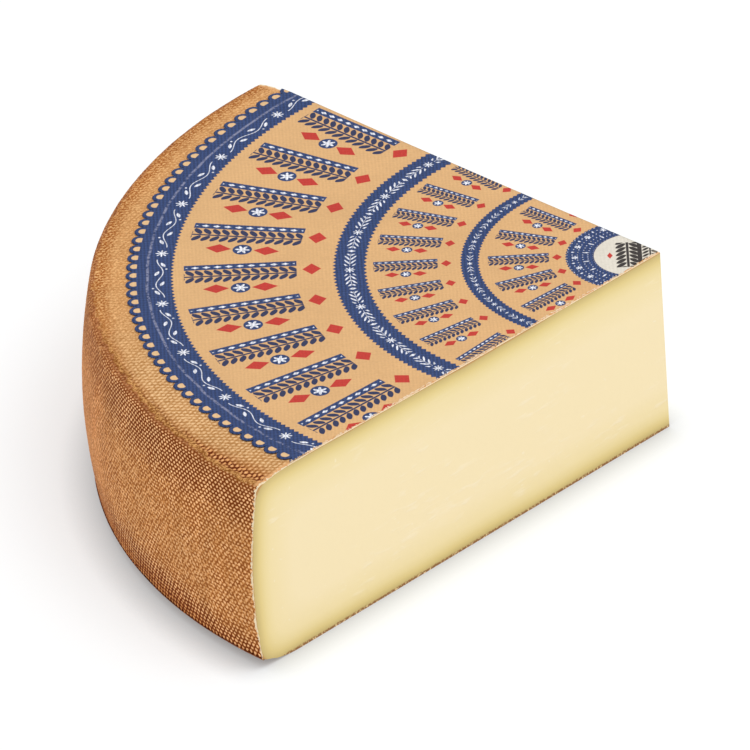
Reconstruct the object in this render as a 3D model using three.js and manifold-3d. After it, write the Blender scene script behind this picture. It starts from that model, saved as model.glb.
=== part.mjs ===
// A quarter of a large pressed cheese wheel, lying on its flat underside, with the
// matching quarter of the round printed label that is stuck on top of the wheel.
// Millimetres, +Z up. The rim of the wheel faces -X and the two knife cuts meet at +X.
import * as THREE from 'three';
import { mergeVertices } from 'three/addons/utils/BufferGeometryUtils.js';
import Module from 'manifold-3d';

const wasm = await Module();
wasm.setup();

// Driving dimensions of the wheel before it is cut.
const THICKNESS = 108; // underside to the middle of the top
const DISH_RISE = 3.0; // the top climbs this much from its middle to where the rim rolls over
const ROLL_RADIUS = 270; // where the top begins to roll over into the shoulder
const SHOULDER_RADIUS = 298.8;
const SHOULDER_HEIGHT = 108; // the shoulder's corner, above the underside
const FOOT_RADIUS = 302.7;
const FOOT_ROLL = 28; // width of the stretch where the underside lifts off the table
const FOOT_LIFT = 5.2;
const SIDE_BULGE = 4.7; // the side bellies out past a straight line by this much
const CORNER_SIZE = 2.8; // the worn corners of the shoulder and foot are rounded over this length
const CORNER_LEAN = 0.4; // how far the side has already leaned out where its corners end
const CORNER_LIFT = 0.6; // the top is still this much higher where the shoulder's corner begins

// The cut: two knife planes from one apex, nearly a right angle, the apex a little off the
// wheel's own middle.
const CUT_ANGLE = THREE.MathUtils.degToRad(89.7);
const WHEEL_CENTRE = new THREE.Vector2(-6.0, -5.8); // from the apex

// The round label, stuck on a little off centre, with a lace edge of round scallops.
const LABEL_CENTRE = new THREE.Vector2(-13.2, -0.6); // from the apex
const LABEL_RADIUS = 266.3; // to the roots of the scallops
const SCALLOP_REACH = 4.9;
const SCALLOPS_PER_TURN = 180;
const SPARE_SCALLOPS = 3; // past each knife plane, before the planes trim the label
const LABEL_THICKNESS = 0.4;
const LABEL_GAP = 0.1; // keeps the two solids apart

// Fineness of the faceted surfaces.
const TURN_STEPS = 160; // facets in a whole turn of the wheel
const DISH_STEPS = 6;
const ROLL_STEPS = 4;
const CORNER_STEPS = 2;
const SIDE_STEPS = 7;
const SCALLOP_STEPS = 3; // an arc takes twice this many straight edges

const TURN = 2 * Math.PI;
const REACH = 2 * FOOT_RADIUS; // long enough to pass through the whole wheel

// The side is one parabola between its two corners: the radii of its ends, of the point that
// steers it, and of its widest place.
const SIDE_TOP_RADIUS = SHOULDER_RADIUS + CORNER_LEAN;
const SIDE_FOOT_RADIUS = FOOT_RADIUS + CORNER_LEAN;
const BELLY_RADIUS = (SIDE_TOP_RADIUS + SIDE_FOOT_RADIUS) / 2 + 2 * SIDE_BULGE;
const BELLY_CURVE = 2 * BELLY_RADIUS - SIDE_TOP_RADIUS - SIDE_FOOT_RADIUS;
const WIDEST_RADIUS = SIDE_TOP_RADIUS + (BELLY_RADIUS - SIDE_TOP_RADIUS) ** 2 / BELLY_CURVE;

// The middle of the finished part's footprint, measured from the apex, becomes x = y = 0.
const FIRST_CUT = Math.PI - CUT_ANGLE / 2;
const SECOND_CUT = Math.PI + CUT_ANGLE / 2;

function cutEnd(angle) {
  // Where a knife plane leaves the wheel at its widest.
  const along = new THREE.Vector2(Math.cos(angle), Math.sin(angle));
  const near = along.dot(WHEEL_CENTRE);
  const squared = near ** 2 - WHEEL_CENTRE.lengthSq() + WIDEST_RADIUS ** 2;
  return along.multiplyScalar(near + Math.sqrt(squared));
}

const RIM_X = WHEEL_CENTRE.x - WIDEST_RADIUS;
const FOOTPRINT_MIDDLE = new THREE.Vector2(RIM_X / 2, (cutEnd(FIRST_CUT).y + cutEnd(SECOND_CUT).y) / 2);

// The outline of the top, from the axis outward: a shallow dish, then a roll down to the
// shoulder. lift raises it, which the label uses.
function topOutline(lift) {
  const rollEnd = new THREE.Vector2(SHOULDER_RADIUS - CORNER_SIZE, SHOULDER_HEIGHT + CORNER_LIFT);
  const rollMiddle = (ROLL_RADIUS + rollEnd.x) / 2;
  const dishSlope = (2 * DISH_RISE) / ROLL_RADIUS;
  const crest = THICKNESS + DISH_RISE + dishSlope * (rollMiddle - ROLL_RADIUS);
  const dish = new THREE.QuadraticBezierCurve(
    new THREE.Vector2(0, THICKNESS + lift),
    new THREE.Vector2(ROLL_RADIUS / 2, THICKNESS + lift),
    new THREE.Vector2(ROLL_RADIUS, THICKNESS + DISH_RISE + lift)
  );
  const roll = new THREE.QuadraticBezierCurve(
    new THREE.Vector2(ROLL_RADIUS, THICKNESS + DISH_RISE + lift),
    new THREE.Vector2(rollMiddle, crest + lift),
    new THREE.Vector2(rollEnd.x, rollEnd.y + lift)
  );
  return [...dish.getPoints(DISH_STEPS), ...roll.getPoints(ROLL_STEPS).slice(1)];
}

// The outline of the side and underside, from the shoulder's corner down and back to the axis.
function sideOutline(rollEnd) {
  const shoulder = new THREE.Vector2(SHOULDER_RADIUS, SHOULDER_HEIGHT);
  const foot = new THREE.Vector2(FOOT_RADIUS, FOOT_LIFT);
  const sideTop = new THREE.Vector2(SIDE_TOP_RADIUS, shoulder.y - CORNER_SIZE);
  const sideFoot = new THREE.Vector2(SIDE_FOOT_RADIUS, foot.y + CORNER_SIZE);
  const belly = new THREE.Vector2(BELLY_RADIUS, (sideTop.y + sideFoot.y) / 2);
  const flatEnd = new THREE.Vector2(FOOT_RADIUS - FOOT_ROLL, 0);
  const footSlope = (2 * FOOT_LIFT) / FOOT_ROLL;
  const rollStart = new THREE.Vector2(foot.x - CORNER_SIZE, foot.y - footSlope * CORNER_SIZE);

  const corner = new THREE.QuadraticBezierCurve(rollEnd, shoulder, sideTop);
  const side = new THREE.QuadraticBezierCurve(sideTop, belly, sideFoot);
  const footCorner = new THREE.QuadraticBezierCurve(sideFoot, foot, rollStart);
  const footRollMiddle = new THREE.Vector2((flatEnd.x + foot.x) / 2, 0);
  const footRoll = new THREE.QuadraticBezierCurve(rollStart, footRollMiddle, flatEnd);
  return [
    ...corner.getPoints(CORNER_STEPS).slice(1),
    ...side.getPoints(SIDE_STEPS).slice(1),
    ...footCorner.getPoints(CORNER_STEPS).slice(1),
    ...footRoll.getPoints(ROLL_STEPS).slice(1),
    new THREE.Vector2(0, 0)
  ];
}

// Solids, and the step from a closed geometry to a solid and back.
function solidOf(geometry) {
  const bare = geometry.clone();
  bare.deleteAttribute('normal');
  bare.deleteAttribute('uv');
  const merged = mergeVertices(bare);
  return new wasm.Manifold(new wasm.Mesh({
    numProp: 3,
    vertProperties: merged.attributes.position.array,
    triVerts: merged.index.array
  }));
}

function geometryOf(solid) {
  const mesh = solid.getMesh();
  const geometry = new THREE.BufferGeometry();
  geometry.setAttribute('position', new THREE.BufferAttribute(mesh.vertProperties, mesh.numProp));
  geometry.setIndex(new THREE.BufferAttribute(mesh.triVerts, 1));
  return geometry;
}

// A body of revolution about the wheel's axis. Its outline is given from the axis out over the
// top and back underneath; turned the other way round, its faces point out.
function turned(outline) {
  const geometry = new THREE.LatheGeometry([...outline].reverse(), TURN_STEPS);
  geometry.rotateX(Math.PI / 2);
  geometry.translate(WHEEL_CENTRE.x, WHEEL_CENTRE.y, 0);
  return solidOf(geometry);
}

function prism(shape) {
  const geometry = new THREE.ExtrudeGeometry(shape, {
    depth: 2 * THICKNESS,
    bevelEnabled: false,
    curveSegments: SCALLOP_STEPS
  });
  geometry.translate(0, 0, -THICKNESS / 2);
  return solidOf(geometry);
}

// The quarter between the two knife planes.
function sector() {
  const shape = new THREE.Shape();
  shape.moveTo(0, 0);
  shape.lineTo(REACH * Math.cos(FIRST_CUT), REACH * Math.sin(FIRST_CUT));
  shape.lineTo(-2 * REACH, 0);
  shape.lineTo(REACH * Math.cos(SECOND_CUT), REACH * Math.sin(SECOND_CUT));
  shape.closePath();
  return prism(shape);
}

// The label's outline: a fan whose rim is a row of round scallops, a little wider than the
// quarter so that the knife planes trim it.
function scallopedFan() {
  const pitch = TURN / SCALLOPS_PER_TURN;
  const first = Math.floor(FIRST_CUT / pitch) - SPARE_SCALLOPS;
  const last = Math.ceil(SECOND_CUT / pitch) + SPARE_SCALLOPS;
  const halfChord = LABEL_RADIUS * Math.sin(pitch / 2);
  const radius = (halfChord ** 2 + SCALLOP_REACH ** 2) / (2 * SCALLOP_REACH);
  const middleRadius = LABEL_RADIUS * Math.cos(pitch / 2) + SCALLOP_REACH - radius;
  const halfOpening = Math.atan2(halfChord, radius - SCALLOP_REACH);
  const shape = new THREE.Shape();
  shape.moveTo(LABEL_CENTRE.x + LABEL_RADIUS, LABEL_CENTRE.y);
  shape.lineTo(
    LABEL_CENTRE.x + LABEL_RADIUS * Math.cos(first * pitch),
    LABEL_CENTRE.y + LABEL_RADIUS * Math.sin(first * pitch)
  );
  for (let i = first; i < last; i += 1) {
    const middle = (i + 0.5) * pitch;
    const x = LABEL_CENTRE.x + middleRadius * Math.cos(middle);
    const y = LABEL_CENTRE.y + middleRadius * Math.sin(middle);
    shape.absarc(x, y, radius, middle - halfOpening, middle + halfOpening, false);
  }
  shape.closePath();
  return prism(shape);
}

function cheese(quarter) {
  const top = topOutline(0);
  const wheel = turned([...top, ...sideOutline(top[top.length - 1])]);
  return new THREE.Mesh(
    geometryOf(wheel.intersect(quarter)),
    new THREE.MeshStandardMaterial({ color: 0xf3dda5, roughness: 0.55, metalness: 0 })
  );
}

function label(quarter) {
  const underside = topOutline(LABEL_GAP);
  const face = topOutline(LABEL_GAP + LABEL_THICKNESS);
  const skin = turned([...face, ...underside.reverse()]);
  return new THREE.Mesh(
    geometryOf(skin.intersect(quarter).intersect(scallopedFan())),
    new THREE.MeshStandardMaterial({ color: 0x35477f, roughness: 0.6, metalness: 0 })
  );
}

const group = new THREE.Group();
const quarter = sector();

const cheeseMesh = cheese(quarter);
cheeseMesh.name = 'cheese';
group.add(cheeseMesh);

const labelMesh = label(quarter);
labelMesh.name = 'label';
group.add(labelMesh);

for (const mesh of group.children) {
  mesh.position.set(-FOOTPRINT_MIDDLE.x, -FOOTPRINT_MIDDLE.y, 0);
}

export default group;
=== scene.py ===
import math

import bmesh
import bpy
import numpy as np
from mathutils import Matrix, Vector, noise


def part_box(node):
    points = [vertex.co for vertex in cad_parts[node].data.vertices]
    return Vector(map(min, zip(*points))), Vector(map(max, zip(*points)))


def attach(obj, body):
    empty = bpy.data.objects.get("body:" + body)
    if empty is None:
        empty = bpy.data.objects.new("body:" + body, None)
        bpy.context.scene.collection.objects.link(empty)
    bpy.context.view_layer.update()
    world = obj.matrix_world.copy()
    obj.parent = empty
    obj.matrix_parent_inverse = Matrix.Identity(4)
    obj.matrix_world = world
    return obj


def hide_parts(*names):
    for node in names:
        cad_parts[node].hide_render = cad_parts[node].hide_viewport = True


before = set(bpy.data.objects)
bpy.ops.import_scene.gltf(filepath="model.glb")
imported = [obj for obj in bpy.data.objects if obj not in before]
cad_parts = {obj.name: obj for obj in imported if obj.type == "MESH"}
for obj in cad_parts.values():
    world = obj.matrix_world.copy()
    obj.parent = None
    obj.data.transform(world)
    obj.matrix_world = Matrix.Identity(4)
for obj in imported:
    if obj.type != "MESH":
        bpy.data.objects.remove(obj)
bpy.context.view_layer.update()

MM = 0.001

# The cheese: a quarter of a pressed wheel, 61 cm across, with a dry brown rind round a dense pale
# paste. Its outline is turned about the wheel's axis, sunk where the pressing cloth has marked it,
# and trimmed by the two knife planes, which meet at the apex.
THICKNESS = 108 * MM  # from the underside to the middle of the top
DISH_RISE = 3.0 * MM  # the top climbs this much from its middle to where it rolls over
ROLL_RADIUS = 270 * MM
SHOULDER = Vector((298.8, 108)) * MM  # radius and height of the corner
FOOT = Vector((302.7, 5.2)) * MM
FOOT_ROLL = 28 * MM  # width of the stretch where the underside lifts off the table
SIDE_BULGE = 4.7 * MM
CORNER_SIZE = 2.8 * MM  # the worn corners are rounded over this length
CORNER_LEAN = 0.4 * MM  # the side has leaned out this much where its corners end
CORNER_LIFT = 0.6 * MM  # the top is still this much higher where the shoulder's corner begins
CUT_ANGLE = math.radians(89.7)
WHEEL_FROM_APEX = Vector((-6.0, -5.8)) * MM

body_low, body_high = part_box("cheese")


def bend(start, steer, end, steps):
    # A curve that leaves start towards steer and comes to end from it.
    shares = [k / steps for k in range(steps + 1)]
    return [start.lerp(steer, k).lerp(steer.lerp(end, k), k) for k in shares]


side_top = Vector((SHOULDER.x + CORNER_LEAN, SHOULDER.y - CORNER_SIZE))
side_foot = Vector((FOOT.x + CORNER_LEAN, FOOT.y + CORNER_SIZE))
belly = (side_top + side_foot) / 2 + Vector((2 * SIDE_BULGE, 0))
roll_end = Vector((SHOULDER.x - CORNER_SIZE, SHOULDER.y + CORNER_LIFT))
roll_start = Vector((ROLL_RADIUS, THICKNESS + DISH_RISE))
crest_radius = (roll_start.x + roll_end.x) / 2
crest = roll_start.y + 2 * DISH_RISE / ROLL_RADIUS * (crest_radius - ROLL_RADIUS)
foot_start = FOOT - Vector((CORNER_SIZE, 2 * FOOT.y / FOOT_ROLL * CORNER_SIZE))
flat_end = Vector((FOOT.x - FOOT_ROLL, 0))

# The apex stands on the box's far side in x, and the first knife plane ends at its greatest y.
first_way = Vector((math.cos(math.pi - CUT_ANGLE / 2), math.sin(math.pi - CUT_ANGLE / 2)))
second_way = Vector((first_way.x, -first_way.y))
widest = body_low.x - body_high.x - WHEEL_FROM_APEX.x
near = first_way.dot(WHEEL_FROM_APEX)
reach = near + math.sqrt(near ** 2 - WHEEL_FROM_APEX.length_squared + widest ** 2)
apex = Vector((body_high.x, body_high.y - reach * first_way.y))
apex_top = Vector((apex.x, apex.y, THICKNESS))
wheel = apex + WHEEL_FROM_APEX
first_out = Vector((first_way.y, -first_way.x, 0))
second_out = Vector((-second_way.y, second_way.x, 0))
cuts = (("first", first_out, first_way), ("second", second_out, second_way))


def top_height(radius):
    if radius < ROLL_RADIUS:
        return THICKNESS + DISH_RISE * (radius / ROLL_RADIUS) ** 2
    along = min((radius - ROLL_RADIUS) / (roll_end.x - ROLL_RADIUS), 1)
    return (1 - along) ** 2 * roll_start.y + 2 * along * (1 - along) * crest + along ** 2 * roll_end.y


def from_cut(place, out):
    # How far inside a knife plane a place lies.
    return -(Vector((place.x - apex.x, place.y - apex.y, 0))).dot(out)


def around(place):
    # Radius and angle about the wheel's axis, the angle from the middle of the rim.
    aside = Vector((wheel.x - place.x, wheel.y - place.y))
    return aside.length, math.atan2(aside.y, aside.x)


# The rind is a fine lattice that follows the cloth: its rows lie at even steps of radius less
# height, which runs on over the shoulder, and its columns at even steps of the turning.
IMPRINT_PITCH = 2.96 * MM  # between the cloth's dots along a row
IMPRINT_ROW = 2.22 * MM  # between rows, each set half a pitch along
DOT_RADIUS = 300 * MM  # where the dots are IMPRINT_PITCH apart
BAND_START = 257 * MM  # the rind is smooth from here inward, under the label
SPARE_TURN = math.radians(0.9)  # past each knife plane, before it trims the rind
OUTLINE_STEPS = 40  # to each stretch of the smooth outline
FOOT_CORNER_STEPS = 3
FOOT_ROLL_STEPS = 6
DOT_COLUMNS = 4
STEP_COLUMNS = 16
SAME_PLACE = 1e-7

band = [BAND_START + k * (ROLL_RADIUS - BAND_START) / OUTLINE_STEPS for k in range(OUTLINE_STEPS)]
smooth_outline = (
    [Vector((radius, top_height(radius))) for radius in band]
    + bend(roll_start, Vector((crest_radius, crest)), roll_end, OUTLINE_STEPS)
    + bend(roll_end, SHOULDER, side_top, OUTLINE_STEPS)[1:]
    + bend(side_top, belly, side_foot, OUTLINE_STEPS)[1:]
    + bend(side_foot, FOOT, foot_start, OUTLINE_STEPS)[1:]
)
travel = np.array([point.x - point.y for point in smooth_outline])
last_row = int(np.argmax(travel))
row_step = IMPRINT_ROW / 2
rows = np.arange(math.ceil(travel[0] / row_step), travel[last_row] / row_step) * row_step
row_radius = np.interp(rows, travel[: last_row + 1], [p.x for p in smooth_outline[: last_row + 1]])
row_height = np.interp(rows, travel[: last_row + 1], [p.y for p in smooth_outline[: last_row + 1]])
outline = [Vector(pair) for pair in zip(row_radius, row_height)]
outline += bend(side_foot, FOOT, foot_start, FOOT_CORNER_STEPS)[1:]
outline += bend(foot_start, Vector(((flat_end.x + FOOT.x) / 2, 0)), flat_end, FOOT_ROLL_STEPS)[1:]

step = STEP_COLUMNS * IMPRINT_PITCH / DOT_COLUMNS / DOT_RADIUS
first_turn = -(CUT_ANGLE / 2 + math.asin(from_cut(wheel, first_out) / BAND_START) + SPARE_TURN)
last_turn = CUT_ANGLE / 2 + SPARE_TURN
first_step = math.floor(first_turn / step)
last_step = math.ceil(last_turn / step)

rind = bmesh.new()
start = Matrix.Translation((wheel.x, wheel.y, 0)) @ Matrix.Rotation(first_step * step, 4, "Z")
corners = [rind.verts.new(start @ Vector((-p.x, 0, p.y))) for p in outline]
edges = [rind.edges.new(pair) for pair in zip(corners, corners[1:])]
bmesh.ops.spin(
    rind,
    geom=corners + edges,
    cent=(wheel.x, wheel.y, 0),
    axis=(0, 0, 1),
    angle=(last_step - first_step) * step,
    steps=last_step - first_step,
)
level = [e for e in rind.edges if abs(e.verts[0].co.z - e.verts[1].co.z) < SAME_PLACE]
arcs = [e for e in level if e.calc_length() > step * BAND_START / 2]
bmesh.ops.subdivide_edges(rind, edges=arcs, cuts=STEP_COLUMNS - 1, use_grid_fill=True)
for v in rind.verts:
    # Off the chords of the turning, out onto the round.
    radius, turn = around(v.co)
    aside = (turn / step) % 1 - 0.5
    stretch = math.cos(aside * step) / math.cos(step / 2)
    v.co.x = wheel.x + (v.co.x - wheel.x) * stretch
    v.co.y = wheel.y + (v.co.y - wheel.y) * stretch
bmesh.ops.recalc_face_normals(rind, faces=rind.faces)

# The cloth's marks on the lattice, the hem that ended the cloth inside the shoulder, and what wear
# has left of both. Angles are from the middle of the rim, greater towards the front cut.
IMPRINT_DEPTH = 0.42 * MM
IMPRINT_START = 189 * MM  # radius less height, over the shoulder, where the side's marks begin
IMPRINT_WHOLE = 192.5 * MM  # and where they are whole
START_DRIFT = 3 * MM  # beside the front cut both lie further in, by these
WHOLE_DRIFT = 2.5 * MM
SHOULDER_DEEPENS = (74 * MM, 92 * MM)  # the marks deepen over these heights, up to the shoulder
FOOT_DEEPENS = (30 * MM, 12 * MM)  # and over these, down to the foot
RUBBED_SHARE = 0.45  # of their depth is left between the two
FAINT_END = 0.12  # they are faint before this angle
FRESH_START = 0.42  # and fresh after this one
FAINT_SHARE = 0.4
PULL = 0.7 * MM  # the cloth was stretched unevenly, by about this much
PULL_SPAN = 11 * MM
FINE_PULL_SPAN = 3.5 * MM
PULL_HEIGHT = 8 * MM  # up from the foot, over which the stretching grows
SWELL_DEPTH = 0.5 * MM
SWELL_SPAN = 46 * MM
SMALL_SWELL_SPAN = 17 * MM
SKIN_DEPTH = 0.18 * MM
SKIN_SPAN = 1.8 * MM
RIDGE_RADIUS = 292.2 * MM  # of the ridge that the hem has left
RIDGE_LIFT = 0.4 * MM
RIDGE_HALF = 1.6 * MM
RIDGE_CREST = 0.4 * MM
HEM_HEIGHTS = (100 * MM, 104 * MM)  # the hem's marks are on the top alone, above these heights
HEM_START = math.radians(-2)  # the ridge grows from here to there, towards the front cut
HEM_FULL = math.radians(20)
HEM_DRIFT = 3.4 * MM  # the ridge runs out by this much from DRIFT_START to DRIFT_END
DRIFT_START = math.radians(27)
DRIFT_END = math.radians(43)
REAR_DRIFT = 2.2 * MM  # and by this much where the ridge has died out
HEM_WANDER = 1.2 * MM
HEM_WANDER_SPAN = 22 * MM
HEM_FRAY = 0.8 * MM
HEM_FRAY_SPAN = 4 * MM
CRUSHED_DEPTH = 0.5 * MM
CHIP_DEPTH = 0.9 * MM
CHIP_SPAN = 2.6 * MM
CRUMB_SPAN = 1.1 * MM
CHIP_REACH = 2.0 * MM  # from a knife plane
BAND_FADE = 8 * MM  # the marks begin over this width beside the label
FOOT_FADE = 4 * MM  # and over this height above the table
CLOTH_SEED = 7

noise.seed_set(CLOTH_SEED)  # noise_vector otherwise starts from the clock, and each run differs


def fade(value, low, high):
    share = min(max((value - low) / (high - low), 0), 1)
    return share * share * (3 - 2 * share)


def rough(place, span):
    # Smooth noise about nought, whose swells are about span across.
    return noise.noise(place / span)


def drawn(place):
    # Where the cloth lay that now touches a place.
    pull = noise.noise_vector(place / PULL_SPAN) + 0.5 * noise.noise_vector(place / FINE_PULL_SPAN)
    return place + pull * PULL * fade(place.z, 0, PULL_HEIGHT)


def relief(place):
    # How far the rind sinks below its smooth outline. The wave is 3 on a dot and -1.5 between dots.
    radius, turn = around(drawn(place))
    run = radius - drawn(place).z
    across = math.cos(math.tau * turn * DOT_RADIUS / IMPRINT_PITCH)
    wave = math.cos(math.tau * run / IMPRINT_ROW) + 2 * across * math.cos(math.pi * run / IMPRINT_ROW)
    drift = fade(turn, DRIFT_START, DRIFT_END)
    on_side = fade(run, IMPRINT_START - START_DRIFT * drift, IMPRINT_WHOLE - WHOLE_DRIFT * drift)
    rim = min(fade(place.z, *SHOULDER_DEEPENS) + fade(place.z, *FOOT_DEEPENS), 1)
    fresh = FAINT_SHARE + (1 - FAINT_SHARE) * fade(turn, FAINT_END, FRESH_START)
    strength = (RUBBED_SHARE + (1 - RUBBED_SHARE) * rim) * on_side * fresh
    weave = IMPRINT_DEPTH * strength * (1 - wave / 3) / 1.5
    swell = rough(place, SWELL_SPAN) + 0.5 * rough(place, SMALL_SWELL_SPAN)
    uneven = SWELL_DEPTH * (0.75 - swell / 2) + SKIN_DEPTH * abs(rough(place, SKIN_SPAN))
    # The hem has raised a ridge, and crushed the rind beside it.
    radius += HEM_WANDER * rough(place, HEM_WANDER_SPAN) + HEM_FRAY * rough(place, HEM_FRAY_SPAN)
    hem = fade(place.z, *HEM_HEIGHTS) * fade(turn, HEM_START, HEM_FULL)
    inside = RIDGE_RADIUS + HEM_DRIFT * drift - radius
    ridge = fade(abs(inside), RIDGE_HALF, RIDGE_CREST) * hem * (0.7 + rough(place, 2 * MM))
    crushed_middle = (2 + 1.6 * drift) * MM
    crushed_half = (1.2 + 1.8 * drift) * MM
    crushed = fade(abs(inside - crushed_middle), crushed_half, 0.4 * MM) * hem
    uneven += CRUSHED_DEPTH * crushed * (0.5 + rough(place, 2.4 * MM)) - RIDGE_LIFT * ridge
    chipped = max(rough(place, CHIP_SPAN) + 0.4 * rough(place, CRUMB_SPAN), 0)
    beside_cuts = sum(fade(from_cut(place, out), CHIP_REACH, 0) for out in (first_out, second_out))
    edge = fade(radius, BAND_START, BAND_START + BAND_FADE) * fade(place.z, 0, FOOT_FADE)
    return max(edge * (weave + uneven + CHIP_DEPTH * chipped * beside_cuts), 0)


rind.normal_update()
cloth_place = rind.verts.layers.float_vector.new("cloth_place")
sunk = [(v, v.co - v.normal * relief(v.co)) for v in rind.verts]
for v, place in sunk:
    v[cloth_place] = drawn(v.co) - place
    v.co = place


def trim(mesh, geometry, plane_point, out, clear):
    cut = bmesh.ops.bisect_plane(
        mesh, geom=geometry, dist=SAME_PLACE, plane_co=plane_point, plane_no=out, clear_outer=clear
    )
    return [g for g in cut["geom"] if g.is_valid]


for side, out, way in cuts:
    trim(rind, rind.verts[:] + rind.edges[:] + rind.faces[:], apex_top, out, True)
for face in rind.faces:
    face.smooth = True

# The quarter is closed by its top and underside, out to the apex, and by the two cut faces.
TOUCH = 0.002 * MM


def on_plane(vert, out):
    return abs(from_cut(vert.co, out)) < TOUCH


def on_cut(edge):
    return any(all(on_plane(v, out) for v in edge.verts) for out in (first_out, second_out))


open_edges = [e for e in rind.edges if e.is_boundary]
top_corner = rind.verts.new((apex.x, apex.y, top_height(WHEEL_FROM_APEX.length)))
foot_corner = rind.verts.new((apex.x, apex.y, 0))
rim_edges = {
    "top": [e for e in open_edges if all(abs(around(v.co)[0] - outline[0].x) < TOUCH for v in e.verts)],
    "foot": [e for e in open_edges if all(abs(v.co.z) < TOUCH for v in e.verts) and not on_cut(e)],
}
for side, out, way in cuts:
    rim_edges[side] = [e for e in open_edges if all(on_plane(v, out) for v in e.verts)]

post = rind.edges.new((top_corner, foot_corner))
spokes = {}
for height, corner in (("top", top_corner), ("foot", foot_corner)):
    for side, out, way in cuts:
        (end,) = {v for e in rim_edges[height] for v in e.verts if on_plane(v, out)}
        spokes[height, side] = rind.edges.new((end, corner))
for (height, side), spoke in spokes.items():
    rim_edges[height].append(spoke)
    rim_edges[side].append(spoke)
for side, out, way in cuts:
    rim_edges[side].append(post)
new_faces = {}
for side, loop in rim_edges.items():
    new_faces[side] = bmesh.ops.contextual_create(rind, geom=loop)["faces"]


def scored(mesh, faces, line, stride, count):
    # Cuts flat faces along count - 1 lines, a stride apart, so that their surface can be shaped.
    geometry = list(faces)
    geometry += {e for f in faces for e in f.edges} | {v for f in faces for v in f.verts}
    for k in range(1, count):
        geometry = trim(mesh, geometry, line + k * stride, stride, False)
    return [g for g in geometry if isinstance(g, bmesh.types.BMFace)]


TOP_GRID = 24 * MM
TOP_COLUMNS = 13
TOP_ROWS = 19
CUT_GRID = 9 * MM
CUT_COLUMNS = 34
CUT_ROWS = 12
CUT_SWAY = 0.16 * MM  # the knife has wandered this much
SWAY_SPAN = 38 * MM
SMALL_SWAY_SPAN = 11 * MM
PASTE = 1  # the place of the paste among the body's materials
FACING = 0.9  # faces whose normals' product is greater lie in one plane
CREASE = 0.5  # and where it is less, they meet at a crease

low_x, low_y = Vector((body_low.x, 0, 0)), Vector((0, body_low.y, 0))
top_faces = scored(rind, new_faces["top"], low_x, Vector((TOP_GRID, 0, 0)), TOP_COLUMNS)
top_faces = scored(rind, top_faces, low_y, Vector((0, TOP_GRID, 0)), TOP_ROWS)
for v in {v for f in top_faces for v in f.verts}:
    if not v.is_boundary and around(v.co)[0] < outline[0].x - TOUCH:
        v.co.z = top_height(around(v.co)[0])
for side, out, way in cuts:
    flat = scored(rind, new_faces[side], apex_top, (way * CUT_GRID).to_3d(), CUT_COLUMNS)
    flat = scored(rind, flat, Vector((0, 0, 0)), Vector((0, 0, CUT_GRID)), CUT_ROWS)
    for face in flat:
        face.material_index = PASTE
        face.smooth = True
    inside = {v for f in flat for v in f.verts}
    inside -= {v for v in inside if any(abs(f.normal.dot(out)) < FACING for f in v.link_faces)}
    for v in inside:
        sway = rough(v.co, SWAY_SPAN) + 0.4 * rough(v.co, SMALL_SWAY_SPAN)
        v.co -= out * CUT_SWAY * (1 + sway)
for edge in rind.edges:
    one, other = edge.link_faces
    edge.smooth = one.material_index == other.material_index and one.normal.dot(other.normal) >= CREASE
bmesh.ops.triangulate(rind, faces=[f for f in rind.faces if len(f.verts) > 4])
bmesh.ops.recalc_face_normals(rind, faces=rind.faces)

body = bpy.data.objects.new("cheese_body", bpy.data.meshes.new("cheese_body"))
rind.to_mesh(body.data)
rind.free()
bpy.context.scene.collection.objects.link(body)


class Amount:
    # A number that varies over a surface. Maths on it adds Math nodes to its finish.
    def __init__(self, finish, socket):
        self.finish = finish
        self.socket = socket

    def __add__(self, other):
        return self.finish.math("ADD", self, other)

    def __sub__(self, other):
        return self.finish.math("SUBTRACT", self, other)

    def __rsub__(self, other):
        return self.finish.math("SUBTRACT", other, self)

    def __mul__(self, other):
        return self.finish.math("MULTIPLY", self, other)

    def __truediv__(self, other):
        return self.finish.math("DIVIDE", self, other)

    def __neg__(self):
        return self.finish.math("MULTIPLY", self, -1)

    def __abs__(self):
        return self.finish.math("ABSOLUTE", self)

    __radd__ = __add__
    __rmul__ = __mul__


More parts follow.
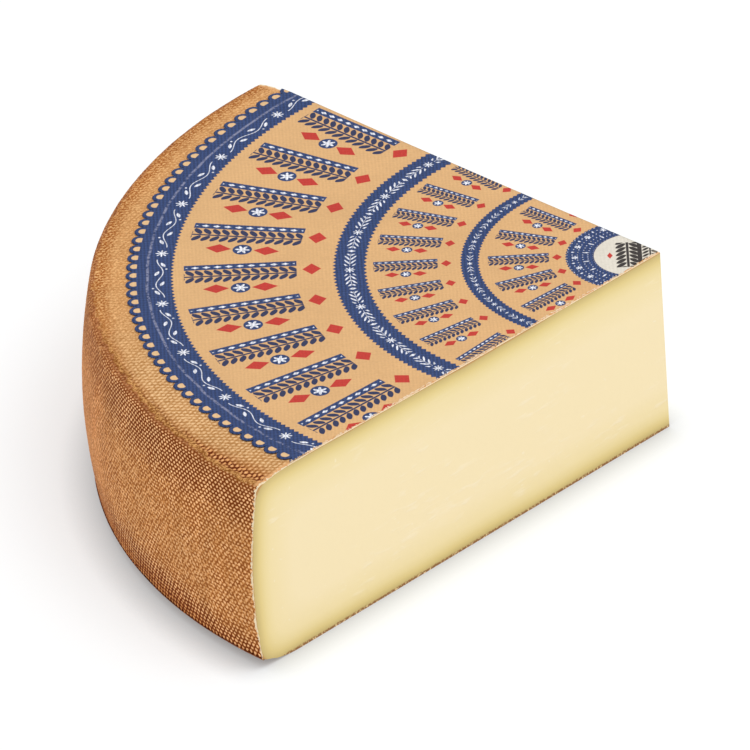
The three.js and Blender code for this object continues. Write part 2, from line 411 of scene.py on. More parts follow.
class Finish:
    # A procedural material: a shader, and the nodes that vary what it is fed.
    def __init__(self, name):
        self.material = bpy.data.materials.new(name)
        self.material.use_nodes = True
        self.tree = self.material.node_tree
        self.shader = self.tree.nodes["Principled BSDF"]
        self.place = self.node("ShaderNodeTexCoord", {}, {}).outputs["Object"]

    def node(self, kind, settings, values):
        node = self.tree.nodes.new(kind)
        for name, value in settings.items():
            if name == "stops":
                stops = node.color_ramp.elements
                while len(stops) < len(value):
                    stops.new(1)
                for stop, (position, colour) in zip(stops, value):
                    stop.position, stop.color = position, colour
            else:
                setattr(node, name, value)
        for name, value in values.items():
            self.feed(node.inputs[name], value)
        return node

    def feed(self, socket, value):
        value = value.socket if isinstance(value, Amount) else value
        if isinstance(value, bpy.types.NodeSocket):
            self.tree.links.new(value, socket)
        else:
            socket.default_value = value

    def math(self, operation, *values):
        node = self.node("ShaderNodeMath", {"operation": operation}, dict(enumerate(values)))
        return Amount(self, node.outputs[0])

    def centred(self, middle, scale, place=None):
        # x, y and z from middle, in millimetres where scale is 1 / MM, turned half round.
        values = {
            "Vector": self.place if place is None else place,
            "Location": (middle.x * scale, middle.y * scale, 0),
            "Scale": (-scale, -scale, scale),
        }
        node = self.node("ShaderNodeMapping", {}, values)
        split = self.node("ShaderNodeSeparateXYZ", {}, {0: node.outputs[0]})
        return [Amount(self, s) for s in split.outputs]

    def hypotenuse(self, x, y):
        return self.math("SQRT", self.math("MULTIPLY_ADD", x, x, y * y))

    def grain(self, size, detail=2.0, roughness=0.5, squash=None):
        # Cloudy noise from 0 to 1 whose spots are about size across, and less along a squashed axis.
        place = self.place
        if squash is not None:
            place = self.node("ShaderNodeMapping", {}, {"Vector": place, "Scale": squash}).outputs[0]
        values = {"Vector": place, "Scale": 1 / size, "Detail": detail, "Roughness": roughness}
        return Amount(self, self.node("ShaderNodeTexNoise", {}, values).outputs[0])

    def between(self, value, low, high):
        # 0 below low, 1 above high, or the other way round where low is the greater.
        values = {0: value, 1: low, 2: high}
        node = self.node("ShaderNodeMapRange", {"interpolation_type": "SMOOTHSTEP"}, values)
        return Amount(self, node.outputs[0])

    def blend(self, share, low, high):
        node = self.node("ShaderNodeMix", {"data_type": "RGBA"}, {0: share, 6: low, 7: high})
        return node.outputs[2]

    def blend_amount(self, share, low, high):
        node = self.node("ShaderNodeMix", {"data_type": "FLOAT"}, {0: share, 2: low, 3: high})
        return Amount(self, node.outputs[0])

    def ramp(self, value, stops):
        return self.node("ShaderNodeValToRGB", {"stops": stops}, {0: value}).outputs[0]

    def lit(self, colour, amount):
        # The colour made lighter or darker.
        node = self.node("ShaderNodeVectorMath", {"operation": "SCALE"}, {0: colour, "Scale": amount})
        return node.outputs[0]

    def emboss(self, height):
        # Relief too fine for the mesh, its height in millimetres.
        bump = self.node("ShaderNodeBump", {}, {"Height": height, "Distance": MM, "Strength": 1.0})
        self.feed(self.shader.inputs["Normal"], bump.outputs[0])


def ink(red, green, blue):
    # A screen colour as the light that it stands for.
    light = [c / 255 for c in (red, green, blue)]
    return tuple(c / 12.92 if c <= 0.04045 else ((c + 0.055) / 1.055) ** 2.4 for c in light) + (1,)


# The rind's colours. Each stretch of it has a dark ground and the pale crowns of the dots; the side's
# crowns also hold a painted highlight.
SIDE_GROUND = ink(158, 92, 38)
SIDE_RAISED = ink(212, 145, 82)
SIDE_CROWN_HIGHLIGHT = ink(234, 178, 124)
RIM_GROUND = ink(122, 54, 6)  # at the shoulder and the foot, where the dots are fresh
RIM_CROWN_HIGHLIGHT = ink(255, 200, 146)
FOOT_GROUND = ink(116, 48, 4)
FOOT_RAISED = ink(184, 110, 50)
FOOT_CROWN_HIGHLIGHT = ink(230, 162, 102)
REAR_SIDE_PAINTED_LIGHT = ink(214, 142, 88)
REAR_RIM_PAINTED_LIGHT = ink(166, 102, 58)
LEDGE_PAINTED_SHADE = ink(140, 78, 32)
LEDGE_DARK = ink(126, 66, 26)
LEDGE_PALE = ink(182, 118, 72)
TOP_GROUND = ink(190, 134, 76)
TOP_CROWN = ink(240, 194, 140)
WORN_GROUND = ink(158, 96, 42)
WORN_CROWN = ink(220, 160, 102)
CRUSHED_GROUND = ink(110, 42, 2)
CRUSHED_CROWN = ink(238, 170, 106)
PAINTED_HIGHLIGHT = ink(250, 210, 164)
REAR_TOP = ink(218, 160, 100)
REAR_WORN = ink(200, 136, 74)
FRECKLE = ink(160, 88, 30)
PAINTED_FLECK_HIGHLIGHT = ink(242, 190, 130)
HEM_DARK = ink(144, 86, 28)
HEM_PALE = ink(218, 162, 98)
CRUMBLED = ink(116, 58, 14)
PEELED = ink(236, 178, 122)
BROKEN = ink(246, 226, 190)
# The top's cloth lies straight: its threads' waves to a millimetre, in x and in y.
TOP_WAVES = ((-0.300, 0.235), (-0.080, -0.363), (-0.380, -0.128))


class Rind(Finish):
    # The skin that the cloth has marked. Lengths are in millimetres, and masks run from 0 to 1.
    def __init__(self):
        super().__init__("browned_rind")
        offset = self.node("ShaderNodeAttribute", {"attribute_name": "cloth_place"}, {}).outputs["Vector"]
        moved = self.node("ShaderNodeVectorMath", {"operation": "ADD"}, {0: self.place, 1: offset})
        self.x, self.y, self.z = self.centred(wheel, 1 / MM, moved.outputs[0])
        self.radius = self.hypotenuse(self.x, self.y)
        self.turn = self.math("ARCTAN2", self.y, self.x)
        self.run = self.radius - self.z
        across = self.math("COSINE", self.turn * (math.tau * DOT_RADIUS / IMPRINT_PITCH))
        along = self.math("COSINE", self.run * (math.pi * MM / IMPRINT_ROW))
        both = self.math("COSINE", self.run * (math.tau * MM / IMPRINT_ROW))
        self.side_dots = (2 * across * along + both) / 3
        one, two, three = [self.math("COSINE", (self.x * u + self.y * v) * math.tau) for u, v in TOP_WAVES]
        self.top_dots = (one + two + three * 0.4) / 2.4
        self.clouds = self.grain(34 * MM, 3) - 0.5
        self.spots = self.grain(7 * MM, 2) - 0.5
        self.fine = self.grain(1.3 * MM, 3, 0.65) - 0.5
        self.toward_front = self.between(self.turn, HEM_START, HEM_FULL)
        self.drift = self.between(self.turn, DRIFT_START, DRIFT_END)
        # How far a place is inside the hem's line, which wanders and is frayed.
        run_out = self.drift * (HEM_DRIFT / MM) + (1 - self.toward_front) * (REAR_DRIFT / MM)
        self.inside = run_out + RIDGE_RADIUS / MM - (self.radius + self.spots * 7 + self.fine * 5)
        self.on_side = self.between(self.inside, -1.1, -1.6)
        self.marked = self.between(self.turn, math.radians(2), math.radians(24)) * 0.85 + 0.15

    def side_skin(self):
        # Pale dots stand clear of a dark ground at the shoulder and the foot, and are rubbed into
        # it between them, and toward the rear.
        height = self.z + self.between(self.turn, 0.5, 0.78) * 12 - 6
        rim = self.math("MAXIMUM", self.between(self.z, 70, 98), self.between(height, 34, 12))
        blotch = self.between(self.clouds + self.spots * 0.6, -0.02, 0.16)
        rim = self.math("MAXIMUM", rim, blotch * 0.45)
        foot = self.between(height, 20, 4)
        faint = self.between(self.turn, FRESH_START, FAINT_END)
        mark = self.side_dots * (rim * 0.4 + 0.6) * (1 - faint * 0.6) + (1 - rim) * 0.1
        mark = mark + self.fine * (3.2 - rim * 1.6 + faint * 1.2) + self.spots * 0.6
        ground = self.blend(foot, self.blend(rim, SIDE_GROUND, RIM_GROUND), FOOT_GROUND)
        raised = self.blend(foot, SIDE_RAISED, FOOT_RAISED)
        # Each dot's crown is its pale top with a painted highlight on it.
        crown = self.blend(foot, self.blend(rim, SIDE_CROWN_HIGHLIGHT, RIM_CROWN_HIGHLIGHT), FOOT_CROWN_HIGHLIGHT)
        side = self.blend(self.between(mark, -0.22, 0.26), ground, raised)
        side = self.blend(self.between(mark, 0.14, 0.6), side, crown)
        # Toward the rear, where the dots are rubbed, the side is also painted lighter, as painted light
        # where the lamp does not reach.
        side = self.blend(faint * (0.5 - rim * 0.4), side, REAR_SIDE_PAINTED_LIGHT)
        side = self.blend(faint * rim * 0.4, side, REAR_RIM_PAINTED_LIGHT)
        streaks = self.grain(13 * MM, squash=(1, 1, 0.3))
        side = self.lit(side, 1.195 - streaks * 0.35)
        # From the hem's ridge to the shoulder's corner runs a rough ledge, darkest at the ridge: dark rind,
        # and a painted shade that dims the first rows of dots.
        shade_beside_ridge = self.between(self.inside, -5.5, -2.5) * self.toward_front
        side = self.blend(shade_beside_ridge * 0.4, side, LEDGE_PAINTED_SHADE)
        ledge = self.between(self.run + self.drift * 3.5, 190, 187)
        ledge_ink = self.blend(self.between(self.fine, -0.08, 0.08), LEDGE_DARK, LEDGE_PALE)
        return self.blend(ledge * 0.65, side, ledge_ink)

    def top_skin(self):
        # Golden, and browner towards the shoulder.
        strayed = self.radius + self.clouds * 8 + self.spots * 5 + self.drift * 4
        worn = self.between(strayed, 284.5, 293.5)
        # Beside the hem the cloth has crushed the rind, which is dark between the dots, most of all
        # at the front cut.
        past_ridge = self.between(self.inside - self.drift * 0.6, 0.9, 1.7)
        crushed = past_ridge * self.between(self.inside - self.drift * 4.6, 2.8, 1.4)
        patchy = self.between(self.fine * 2 + self.spots + self.drift * 0.9, 0.05, 0.4)
        crushed = crushed * patchy * self.toward_front
        ground = self.blend(crushed, self.blend(worn, TOP_GROUND, WORN_GROUND), CRUSHED_GROUND)
        crown = self.blend(crushed, self.blend(worn, TOP_CROWN, WORN_CROWN), CRUSHED_CROWN)
        rubbed = self.fine * (4.6 - self.marked * 1.6)
        share = self.top_dots * self.marked * (crushed * 0.6 + 1) + rubbed + self.spots * 0.9
        top = self.blend(self.between(share, -0.65, 0.8), ground, crown)
        # Painted highlights glint on the dots toward the front.
        painted_highlights = self.between(self.top_dots * self.marked + rubbed, 0.7, 1.05) * self.toward_front
        top = self.blend(painted_highlights * 0.5, top, PAINTED_HIGHLIGHT)
        # Toward the rear the dots are lost, and dark flecks are left, with bright flecks painted on as
        # highlights.
        rear = 1 - self.toward_front
        top = self.blend(rear * 0.8, top, self.blend(worn, REAR_TOP, REAR_WORN))
        flecks = self.grain(1.15 * MM, 2, 0.6) - self.top_dots * 0.09 - 0.5
        freckled = self.between(flecks, 0.0, 0.06) * rear * (worn * 0.65 + 0.3)
        top = self.blend(freckled, top, FRECKLE)
        top = self.blend(self.between(flecks, -0.05, -0.12) * rear * 0.8, top, PAINTED_FLECK_HIGHLIGHT)
        # The hem's own ridge, and the crumbs that it has left.
        hem = self.between(abs(self.inside + 0.1), 1.7, 1.2) * self.toward_front
        hem_ink = self.blend(self.between(self.fine, -0.06, 0.07), HEM_DARK, HEM_PALE)
        top = self.blend(hem * 0.85, top, hem_ink)
        crumbs = self.between(abs(self.inside - 1.5), 1.3, 0.5) * self.between(flecks, 0.02, 0.06)
        crumbs = crumbs * self.between(self.turn, 0.2, 0.4) * (1 - self.drift)
        top = self.blend(crumbs * 0.85, top, CRUMBLED)
        return self.lit(top, 1 - self.drift * 0.07)

    def beside_knife(self, skin):
        # Near the knife the rind is peeled, and at its very edge broken to a cream line.
        gaps = []
        for out in (first_out, second_out):
            gaps.append(from_cut(wheel, out) / MM - (self.x * -out.x + self.y * -out.y))
        gap = self.math("MINIMUM", *gaps)
        peeled = self.between(gap + self.fine * 5, 3.4, 2.2) * (1 - self.on_side)
        skin = self.blend(peeled * 0.7, skin, PEELED)
        return self.blend(self.between(gap + self.fine * 5 + self.spots * 2, 0.9, 0.5), skin, BROKEN)


def rind_finish():
    rind = Rind()
    skin = rind.blend(rind.on_side, rind.top_skin(), rind.side_skin())
    skin = rind.lit(skin, 1 + rind.fine * 0.5 + rind.clouds * 0.3)
    rind.feed(rind.shader.inputs["Base Color"], rind.beside_knife(skin))
    rind.shader.inputs["Roughness"].default_value = 0.8
    rind.shader.inputs["Specular IOR Level"].default_value = 0.1
    weave = rind.blend_amount(rind.on_side, rind.top_dots * rind.marked * 0.08, rind.side_dots * 0.1)
    rind.emboss(weave + rind.fine * 0.5)
    return rind


# The paste's colours by depth under the rind, as a share of PASTE_DEPTH.
PASTE_DEPTH = 30
PASTE_STOPS = [
    (0.0, ink(189, 140, 80)),
    (0.03, ink(202, 178, 113)),
    (0.08, ink(212, 188, 121)),
    (0.17, ink(226, 203, 135)),
    (0.3, ink(235, 214, 154)),
    (0.45, ink(240, 220, 167)),
    (1.0, ink(244, 225, 181)),
]
SMEAR = ink(250, 236, 209)
SOLE_DARK_AND_SHADOW = ink(150, 104, 56)
SOLE_CRUMB = ink(238, 206, 152)


def paste_finish():
    paste = Finish("pale_paste")
    x, y, z = paste.centred(wheel, 1 / MM)
    radius = paste.hypotenuse(x, y)
    out = radius / (ROLL_RADIUS / MM)
    ceiling = THICKNESS / MM + DISH_RISE / MM * out * out
    share = (z - side_foot.y / MM) / ((side_top.y - side_foot.y) / MM)
    bow = share * (1 - share) * (4 * SIDE_BULGE / MM)
    wall = side_foot.x / MM + share * ((side_top.x - side_foot.x) / MM) + bow
    # The depth under the nearest rind: the top's, the underside's or the side's.
    deep = paste.math("SMOOTH_MIN", ceiling - z, z * 1.1, 8)
    deep = paste.math("SMOOTH_MIN", deep, wall - radius, 22)
    deep = deep + (paste.grain(60 * MM, 2) - 0.5) * 3
    colour = paste.ramp(deep / PASTE_DEPTH, PASTE_STOPS)
    # Faint whiter smears and specks, where curd has closed up in the press.
    patch = paste.between(paste.grain(52 * MM, 1), 0.5, 0.62)
    smeared = paste.between(paste.grain(16 * MM, 3.0, squash=(1, 1, 5)), 0.54, 0.72) * patch
    smeared = smeared * paste.between(deep, 8, 16)
    speck = paste.between(paste.grain(3.2 * MM, 1), 0.74, 0.8) * paste.between(deep, 6, 14)
    colour = paste.blend(paste.math("MAXIMUM", smeared * 0.4, speck * 0.45), colour, SMEAR)
    # The edge of the underside's rind, with crumbs, and a painted contact shadow where it meets the table.
    fine = paste.grain(1.4 * MM, 3, 0.65) - 0.5
    sole = paste.between(z + fine * 3, 1.9, 0.9)
    sole_ink = paste.blend(paste.between(fine, 0.02, 0.1), SOLE_DARK_AND_SHADOW, SOLE_CRUMB)
    paste.feed(paste.shader.inputs["Base Color"], paste.blend(sole, colour, sole_ink))
    paste.shader.inputs["Roughness"].default_value = 0.5
    paste.shader.inputs["Specular IOR Level"].default_value = 0.3
    paste.emboss(fine * 0.06 + smeared * 0.15 + (paste.grain(5 * MM, 2) - 0.5) * 0.12)
    return paste


body.data.materials.append(rind_finish().material)
body.data.materials.append(paste_finish().material)
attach(body, "root")
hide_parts("cheese")

# The label: a sheet of paper printed in dark blue, red and white on tan, stuck on the wheel's top a
# little off its centre before pressing. Its rim is a lace of round scallops. The knife has torn its
# front edge back to an uneven line, and cut it clean at the back.
LABEL_FROM_APEX = Vector((-13.2, -0.6)) * MM
LABEL_RADIUS = 266.3 * MM  # to the roots of the scallops
SCALLOP_REACH = 4.9 * MM
SCALLOPS_PER_TURN = 180
SCALLOP_STEPS = 8
PAPER = 0.25 * MM
PAPER_LIFT = 0.3 * MM  # of its face above the rind
TORN_BACK = 1.1 * MM  # from the front cut to the paper's edge
FRAYED = 1.3 * MM  # the same, to where the print is worn through to the white of the paper
TEAR = 0.8 * MM
TEAR_LIMIT = 0.9
TEAR_SPAN = 9 * MM
SMALL_TEAR_SPAN = 2.6 * MM
LABEL_GRID = 3 * MM
LABEL_COLUMNS = 105
LABEL_ROWS = 146

centre = apex + LABEL_FROM_APEX
pitch = math.tau / SCALLOPS_PER_TURN
half_chord = LABEL_RADIUS * math.sin(pitch / 2)
scallop_radius = (half_chord ** 2 + SCALLOP_REACH ** 2) / (2 * SCALLOP_REACH)
scallop_middle = LABEL_RADIUS * math.cos(pitch / 2) + SCALLOP_REACH - scallop_radius
scallop_opening = 2 * math.atan2(half_chord, scallop_radius - SCALLOP_REACH)


def from_centre(distance, turn):
    return Vector((centre.x - distance * math.cos(turn), centre.y - distance * math.sin(turn), THICKNESS))


def everything(mesh):
    return mesh.verts[:] + mesh.edges[:] + mesh.faces[:]


sheet = bmesh.new()
first_scallop = math.floor(first_turn / pitch)
last_scallop = math.ceil((last_turn + SPARE_TURN) / pitch)
rim = sheet.verts.new(from_centre(LABEL_RADIUS, first_scallop * pitch))
first_rim = rim
for k in range(first_scallop, last_scallop):
    turned = bmesh.ops.spin(
        sheet,
        geom=[rim],
        cent=from_centre(scallop_middle, (k + 0.5) * pitch),
        axis=(0, 0, 1),
        angle=scallop_opening,
        steps=SCALLOP_STEPS,
    )
    (rim,) = [g for g in turned["geom_last"] if isinstance(g, bmesh.types.BMVert)]
hub = sheet.verts.new(from_centre(-LABEL_RADIUS, 0))
sheet.edges.new((rim, hub))
sheet.edges.new((hub, first_rim))
bmesh.ops.contextual_create(sheet, geom=sheet.edges[:])
trim(sheet, everything(sheet), apex_top, first_out, True)
trim(sheet, everything(sheet), apex_top - second_out * TORN_BACK, second_out, True)
scored(sheet, sheet.faces[:], low_x, Vector((LABEL_GRID, 0, 0)), LABEL_COLUMNS)
scored(sheet, sheet.faces[:], low_y, Vector((0, LABEL_GRID, 0)), LABEL_ROWS)
for v in sheet.verts:
    if from_cut(v.co, second_out) < TORN_BACK + TOUCH:
        along = (v.co - apex_top).dot(second_way.to_3d())
        jag = rough(Vector((along, 0, 0)), TEAR_SPAN) + 0.8 * rough(Vector((along, 1, 0)), SMALL_TEAR_SPAN)
        v.co += second_out * TEAR * max(min(jag, TEAR_LIMIT), -TEAR_LIMIT)
for v in sheet.verts:
    v.co.z = top_height(around(v.co)[0]) + PAPER_LIFT
under = bmesh.ops.extrude_face_region(sheet, geom=everything(sheet), use_keep_orig=True)
for v in under["geom"]:
    if isinstance(v, bmesh.types.BMVert):
        v.co.z -= PAPER
bmesh.ops.recalc_face_normals(sheet, faces=sheet.faces)
for face in sheet.faces:
    face.smooth = abs(face.normal.z) > CREASE
label = bpy.data.objects.new("printed_label", bpy.data.meshes.new("printed_label"))
sheet.to_mesh(label.data)
sheet.free()
bpy.context.scene.collection.objects.link(label)

# Its print is dark rings about the label's centre, with white ornament on them, and rows of blocks
# of ornament between them. From here to the paper's finish, lengths are in millimetres and pitches
# in degrees.
TAN = ink(222, 176, 122)
LACE = ink(230, 190, 140)
NAVY = ink(46, 66, 112)
DARK = ink(48, 54, 88)
WHITE = ink(228, 230, 238)
RED = ink(196, 56, 46)
CREAM = ink(226, 219, 205)
BLACK = ink(58, 52, 50)
RUBBED_INK = ink(196, 194, 214)
FRAYED_PAPER = ink(242, 216, 184)
LACE_PITCH = 2
LACE_MIDDLE = 266.6
LACE_HOLE = 2.35
LACE_SILL = 265.3  # the holes are cut off flat at this radius
OUTER_EDGE = 246.2  # of the outer ring, which runs out to the lace
OUTER_MIDDLE = 253
WIDE_EDGES = (143.5, 160.1)
WIDE_MIDDLE = 151.8
NARROW_EDGES = (83.3, 92.7)
NARROW_MIDDLE = 88
INNER_EDGES = (22, 37)
INNER_MIDDLE = 29.5
BLOCK_ROWS = ((10.909, 208, 1.0), (12, 121, 0.57), (21, 61, 0.54))  # pitch, middle radius and scale
THREADS = (0.513, 0.40)  # of the cloth, to a millimetre
THREAD_SLANT = 0.024
FOLD_RADIUS = 259.6


class Print(Finish):
    # Ink on paper. A shape is a distance, less than nothing inside it, and a mask is 1 inside.
    def __init__(self):
        super().__init__("printed_paper")
        self.x, self.y = self.centred(centre, 1 / MM)[:2]
        self.radius = self.hypotenuse(self.x, self.y)
        self.turn = self.math("ARCTAN2", self.y, self.x)
        self.degrees = self.turn * (180 / math.pi)

    def mask(self, distance, blur=0.3):
        values = {0: distance, 1: blur / 2, 2: -blur / 2}
        node = self.node("ShaderNodeMapRange", {"interpolation_type": "LINEAR"}, values)
        return Amount(self, node.outputs[0])

    def any_of(self, *shapes):
        joined = shapes[0]
        for shape in shapes[1:]:
            joined = self.math("MINIMUM", joined, shape)
        return joined

    def all_of(self, *shapes):
        joined = shapes[0]
        for shape in shapes[1:]:
            joined = self.math("MAXIMUM", joined, shape)
        return joined

    def repeat(self, value, pitch):
        # The value from the nearest of marks a pitch apart.
        return self.math("WRAP", value, pitch / 2, -pitch / 2)

    def cells(self, pitch, middle, first=0, size_at=None):
        # Along a ring from the nearest of its cells, in lengths that are true at the radius size_at,
        # and outward from its middle circle.
        length = math.radians(1) * (middle if size_at is None else size_at)
        return self.repeat(self.degrees - first, pitch) * length, self.radius - middle

    def teeth(self, count, reach):
        return (self.math("PINGPONG", self.turn * (count / math.pi), 1) - 0.5) * reach

    def turned(self, x, y, degrees):
        c, s = math.cos(math.radians(degrees)), math.sin(math.radians(degrees))
        return x * c + y * s, y * c - x * s

    def leaf(self, x, y, length, width):
        # Pointed at both ends, along x.
        bow = (length ** 2 + width ** 2) / (4 * width)
        return self.hypotenuse(x, abs(y) + (bow - width / 2)) - bow

    def oval(self, x, y, length, width):
        return (self.hypotenuse(x / (length / 2), y / (width / 2)) - 1) * (width / 2)

    def lozenge(self, x, y, length, width):
        steep = 1 / math.hypot(1 / length, 1 / width)
        return (abs(x) * (2 / length) + abs(y) * (2 / width) - 1) * (steep / 2)

    def bar(self, x, y, length, width):
        return self.all_of(abs(x) - length / 2, abs(y) - width / 2)

    def petals(self, x, y, count, inner, outer):
        # A flower whose edge swings between inner and outer.
        petal = self.math("COSINE", self.math("ARCTAN2", y, x) * count)
        return self.hypotenuse(x, y) - (outer + inner) / 2 - petal * ((outer - inner) / 2)

    def sprig(self, x, y, length, gap, leaf_length, leaf_width, lean, stem):
        # A stem along x with pairs of leaves, gap apart, that lean by so many degrees from it.
        lean = math.radians(lean)
        aside = abs(y)
        tall = leaf_length * math.sin(lean)
        wide = leaf_width / math.sin(lean)
        leaves = self.leaf(
            aside - stem / 2 - tall / 2, self.repeat(x - aside * (1 / math.tan(lean)), gap), tall, wide
        )
        return self.all_of(abs(x) - length / 2, self.any_of(leaves, aside - stem / 2))


def dark_rings(paper, hole):
    radius = paper.radius
    outer = paper.all_of(OUTER_EDGE + paper.teeth(450, 1.6) - radius, -hole)
    wide_in, wide_out = WIDE_EDGES
    wide = paper.all_of(wide_in + paper.teeth(240, 1.6) - radius, radius - wide_out - paper.teeth(284, 1.6))
    thin_in, thin_out = NARROW_EDGES
    thin = paper.all_of(thin_in + paper.teeth(180, 1.0) - radius, radius - thin_out - paper.teeth(200, 1.0))
    inner_in, inner_out = INNER_EDGES
    inner = paper.all_of(inner_in - radius, radius - inner_out - paper.teeth(90, 0.8))
    return paper.any_of(outer, wide, thin, inner)


def winding_stem(paper):
    # On the outer ring: a winding stem with leaves and a bud, between eight-petalled flowers.
    along, aside = paper.cells(12, OUTER_MIDDLE)
    side = paper.math("SIGN", along)
    s, r = abs(along), aside * side
    stem = abs(r - paper.math("SINE", s * (math.pi / 13.2)) * 1.9) - 0.26
    stem = paper.all_of(stem, s - 20)
    near_leaf = paper.leaf(*paper.turned(s - 5.5, r + 1.4, 25), 5.0, 1.9)
    far_leaf = paper.leaf(*paper.turned(s - 14.5, r - 1.6, -28), 5.0, 1.9)
    flower = paper.petals(s - 26.5, r, 8, 1.0, 3.5)
    bud = paper.hypotenuse(s - 10, r - 3.6) - 0.6
    return paper.all_of(paper.any_of(stem, near_leaf, far_leaf, flower, bud), abs(aside) - 6)


def leafy_rings(paper):
    # On the wide ring, leafy sprigs either side of a small flower, and lozenges between. The narrow
    # ring has the same at a smaller size.
    along, aside = paper.cells(15, WIDE_MIDDLE)
    s = abs(along)
    spray = paper.sprig(s - 10.6, aside, 12.6, 4.2, 5.0, 1.15, 38, 0.24)
    flower = paper.petals(s, aside, 8, 0.7, 2.9)
    gem = paper.lozenge(s - 19.87, aside, 2.2, 4.4)
    wide = paper.all_of(paper.any_of(spray, flower, gem), abs(aside) - 7)
    along, aside = paper.cells(15, NARROW_MIDDLE)
    s = abs(along)
    spray = paper.sprig(s - 6.2, aside, 6.0, 3.0, 2.8, 0.6, 38, 0.12)
    flower = paper.petals(s, aside, 6, 0.4, 1.6)
    gem = paper.lozenge(s - 11.52, aside, 1.2, 2.4)
    narrow = paper.all_of(paper.any_of(spray, flower, gem), abs(aside) - 4)
    return paper.any_of(wide, narrow)


def small_flowers(paper):
    # On the inner ring: two circles of small flowers, leaves and drops, on a ground of specks.
    flowers = paper.petals(*paper.cells(20, 32), 6, 0.6, 1.9)
    s, r = paper.cells(20, 26.4, 10, 26)
    leaves = paper.leaf(r, s, 3.6, 1.0)
    s, r = paper.cells(20, 33.6, 10, 34)
    drops = paper.oval(s, r, 1.0, 1.8)
    s, r = paper.cells(5, 30)
    specks = paper.hypotenuse(s, paper.repeat(paper.radius, 2.8)) - 0.32
    ornament = paper.any_of(flowers, leaves, drops, specks)
    return paper.all_of(ornament, abs(paper.radius - INNER_MIDDLE) - 7)


def blocks(paper):
    # Blocks that point at the centre, in three tan fields: a beaded ribbon over a leafy sprig, a
    # flower between two gems under it, and a gem at the outer end. One shape for each ink.
    navy, dark, white, red = [], [], [], []
    for pitch, middle, size in BLOCK_ROWS:
        angle = paper.repeat(paper.degrees, pitch) * math.radians(1)
        x = (paper.radius * paper.math("COSINE", angle) - middle) / size
        y = paper.radius * paper.math("SINE", angle) / size
        field = abs(x) - 42
        s = x - 2
        ribbon = paper.bar(s, y + 9.6, 60, 5.2)
        beads = paper.lozenge(paper.repeat(s, 6), y + 9.6, 4.2, 2.4)
        beads = paper.all_of(beads, abs(s) - 29)
        spray = paper.sprig(s, y + 0.2, 60, 5, 6.8, 3.5, 62, 1.3)
        rosette = paper.hypotenuse(s, y - 13.2) - 5.2
        eye = paper.petals(s, y - 13.2, 6, 1.6, 4.0)
        gems = paper.lozenge(abs(s) - 13, y - 13.2, 14, 9)
        end_gem = paper.lozenge(x + 36, y + 3, 10, 11.5)
        navy.append(paper.all_of(field, paper.any_of(ribbon, rosette)) * size)
        dark.append(paper.all_of(field, spray) * size)
        white.append(paper.all_of(field, paper.any_of(beads, eye)) * size)
        red.append(paper.all_of(field, paper.any_of(gems, end_gem)) * size)
    return [paper.any_of(*shapes) for shapes in (navy, dark, white, red)]


def middle_disc(paper):
    # Two dark sprigs across the disc, a bar between them, and a red gem. Its own edge comes first.
    disc = paper.radius - INNER_EDGES[0]
    x, y = paper.x, paper.y
    black = paper.any_of(
        paper.sprig(y, x - 4, 26, 4, 7, 3.1, 55, 1.4),
        paper.bar(y, x + 2.4, 24, 2.4),
        paper.sprig(y, x + 8, 16, 3.2, 4.8, 1.9, 55, 0.9),
    )
    gem = paper.lozenge(y, x - 13.5, 6.5, 3)
    return disc, paper.all_of(disc + 2, black), paper.all_of(disc + 2, gem)


def label_print():
    paper = Print()
    lace_along, lace_aside = paper.cells(LACE_PITCH, LACE_MIDDLE, LACE_PITCH / 2)
    hole = paper.all_of(paper.hypotenuse(lace_along, lace_aside) - LACE_HOLE, LACE_SILL - paper.radius)
    block_navy, dark, block_white, red = blocks(paper)
    navy = paper.any_of(dark_rings(paper, hole), block_navy)
    white = paper.any_of(winding_stem(paper), leafy_rings(paper), small_flowers(paper), block_white)
    disc, black, gem = middle_disc(paper)
    colour = TAN
    layers = (
        (hole, LACE),
        (navy, NAVY),
        (dark, DARK),
        (red, RED),
        (disc, CREAM),
        (black, BLACK),
        (gem, RED),
        (white, WHITE),
    )
    for shape, layer_ink in layers:
        colour = paper.blend(paper.mask(shape), colour, layer_ink)

    # The cloth shows through as fine threads, and has rubbed the ink off along one fold.
    clouds = paper.grain(24 * MM, 3) - 0.5
    fine = paper.grain(1.6 * MM, 3, 0.6) - 0.5
    across, along = THREADS
    warp = paper.math("COSINE", (paper.x + paper.y * THREAD_SLANT + clouds * 1.5) * (math.tau * across))
    weft = paper.math("COSINE", (paper.y - paper.x * THREAD_SLANT + clouds * 1.5) * (math.tau * along))
    threads = warp * 0.7 + weft * 0.3
    strong = paper.mask(navy) * 0.25 + 0.035
    worn = threads * (strong + clouds * 0.1) + clouds * 0.16 + fine * (strong * 2 + 0.2)
    colour = paper.lit(colour, 1 + worn)
    fold = paper.between(abs(paper.radius - FOLD_RADIUS + clouds * 3), 1.1, 0.3)
    fold = fold * paper.between(fine + clouds * 0.5, -0.16, 0.12)
    colour = paper.blend(fold * 0.42, colour, RUBBED_INK)
    # At the torn edge the print is worn through to the paper.
    to_front = from_cut(centre, second_out) / MM + paper.x * second_out.x + paper.y * second_out.y
    frayed = paper.between(to_front + fine * 5 + clouds * 2, FRAYED / MM + 0.3, FRAYED / MM - 0.2)
    paper.feed(paper.shader.inputs["Base Color"], paper.blend(frayed, colour, FRAYED_PAPER))
    paper.shader.inputs["Roughness"].default_value = 0.6
    paper.shader.inputs["Specular IOR Level"].default_value = 0.2
    paper.emboss(threads * 0.05 + fine * 0.12)
    return paper


label.data.materials.append(label_print().material)
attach(label, "root")
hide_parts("label")

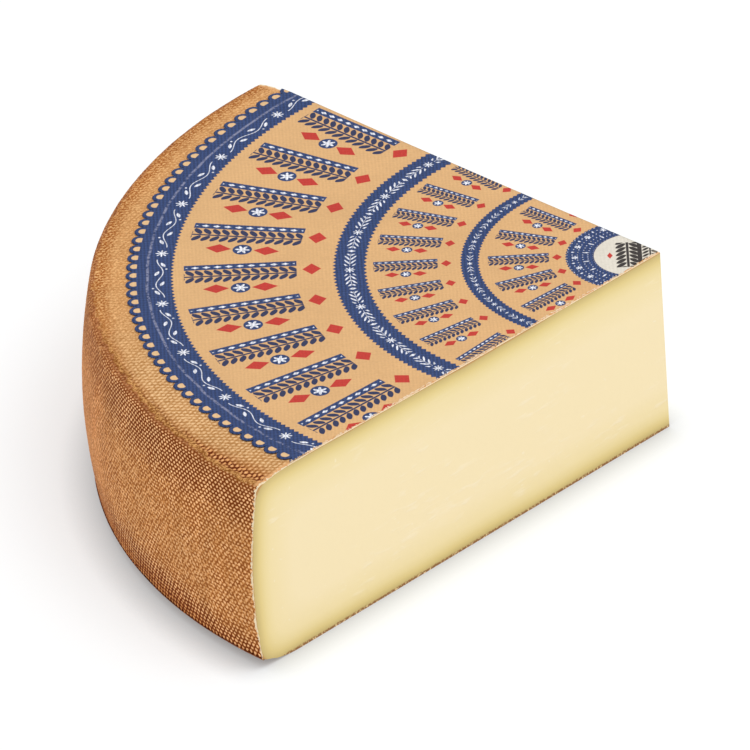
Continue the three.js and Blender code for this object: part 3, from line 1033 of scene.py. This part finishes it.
# The studio: a white table that runs out of sight under an even white sky, and one large soft lamp,
# high on the right. Where something stands near the table, a contact shadow is painted into its colour and
# glow, by an occlusion node.
TABLE_SIZE = 15
TABLE_WHITE = (0.53, 0.548, 0.559, 1)
GLOW_WHITE = (1, 1, 1, 1)
TABLE_GLOW = 0.5
TABLE_GAP = 0.05 * MM  # under the cheese, so that the two faces don't lie in one plane
SHADE_REACH = 22 * MM
DEEPEST_SHADE = 0.42  # of the table's open tone
SKY_STRENGTH = 0.82
LAMP_AZIMUTH = math.radians(-30)
LAMP_HEIGHT = math.radians(65)
LAMP_DISTANCE = 3.2
LAMP_SIZE = 1.5
LAMP_WATTS = 25.3

table = bpy.data.objects.new("table", bpy.data.meshes.new("table"))
board = bmesh.new()
lowered = Matrix.Translation((0, 0, -TABLE_GAP))
bmesh.ops.create_grid(board, x_segments=1, y_segments=1, size=TABLE_SIZE, matrix=lowered)
board.to_mesh(table.data)
board.free()
white = Finish("table_white")
# A painted contact shadow: the occlusion darkens the table's colour and its glow.
shade = white.node("ShaderNodeAmbientOcclusion", {}, {"Distance": SHADE_REACH}).outputs["AO"]
for name, open_tone in (("Base Color", TABLE_WHITE), ("Emission Color", GLOW_WHITE)):
    shaded = [c * DEEPEST_SHADE for c in open_tone]
    white.feed(white.shader.inputs[name], white.blend(shade, shaded, open_tone))
white.shader.inputs["Roughness"].default_value = 1
white.shader.inputs["Specular IOR Level"].default_value = 0
white.shader.inputs["Emission Strength"].default_value = TABLE_GLOW
table.data.materials.append(white.material)
bpy.context.scene.collection.objects.link(table)

sky = bpy.data.worlds.new("sky")
sky.use_nodes = True
sky.node_tree.nodes["Background"].inputs["Color"].default_value = (1, 1, 1, 1)
sky.node_tree.nodes["Background"].inputs["Strength"].default_value = SKY_STRENGTH
bpy.context.scene.world = sky
bpy.context.scene.view_settings.view_transform = "Standard"

lamp = bpy.data.objects.new("lamp", bpy.data.lights.new("lamp", "AREA"))
lamp.data.shape = "DISK"
lamp.data.size = LAMP_SIZE
lamp.data.energy = LAMP_WATTS
lamp.matrix_world = (
    Matrix.Rotation(LAMP_AZIMUTH, 4, "Z")
    @ Matrix.Rotation(math.pi / 2 - LAMP_HEIGHT, 4, "Y")
    @ Matrix.Translation((0, 0, LAMP_DISTANCE))
)
bpy.context.scene.collection.objects.link(lamp)

# The camera looks down on the front cut from a long way off. The apex's top corner is APEX_RIGHT of
# the middle of the view and APEX_UP above it.
CAMERA_ELEVATION = math.radians(30.75)
CAMERA_TURN = math.radians(0.88)
CAMERA_ROLL = math.radians(-3.95)
CAMERA_DISTANCE = 6.0
CAMERA_REACH = 100
LENS = 542.4  # mm, for a sensor SENSOR mm wide
SENSOR = 36
APEX_RIGHT = 151.35 * MM
APEX_UP = 65.05 * MM

camera = bpy.data.objects.new("camera", bpy.data.cameras.new("camera"))
bpy.context.scene.collection.objects.link(camera)
camera.data.lens = LENS
camera.data.sensor_width = SENSOR
camera.data.clip_end = CAMERA_REACH
stance = (
    Matrix.Rotation(CAMERA_TURN, 4, "Z")
    @ Matrix.Rotation(math.pi / 2 - CAMERA_ELEVATION, 4, "X")
    @ Matrix.Rotation(CAMERA_ROLL, 4, "Z")
)
aim = Matrix.Translation((-APEX_RIGHT, -APEX_UP, CAMERA_DISTANCE))
camera.matrix_world = Matrix.Translation(apex_top) @ stance @ aim
bpy.context.scene.camera = camera
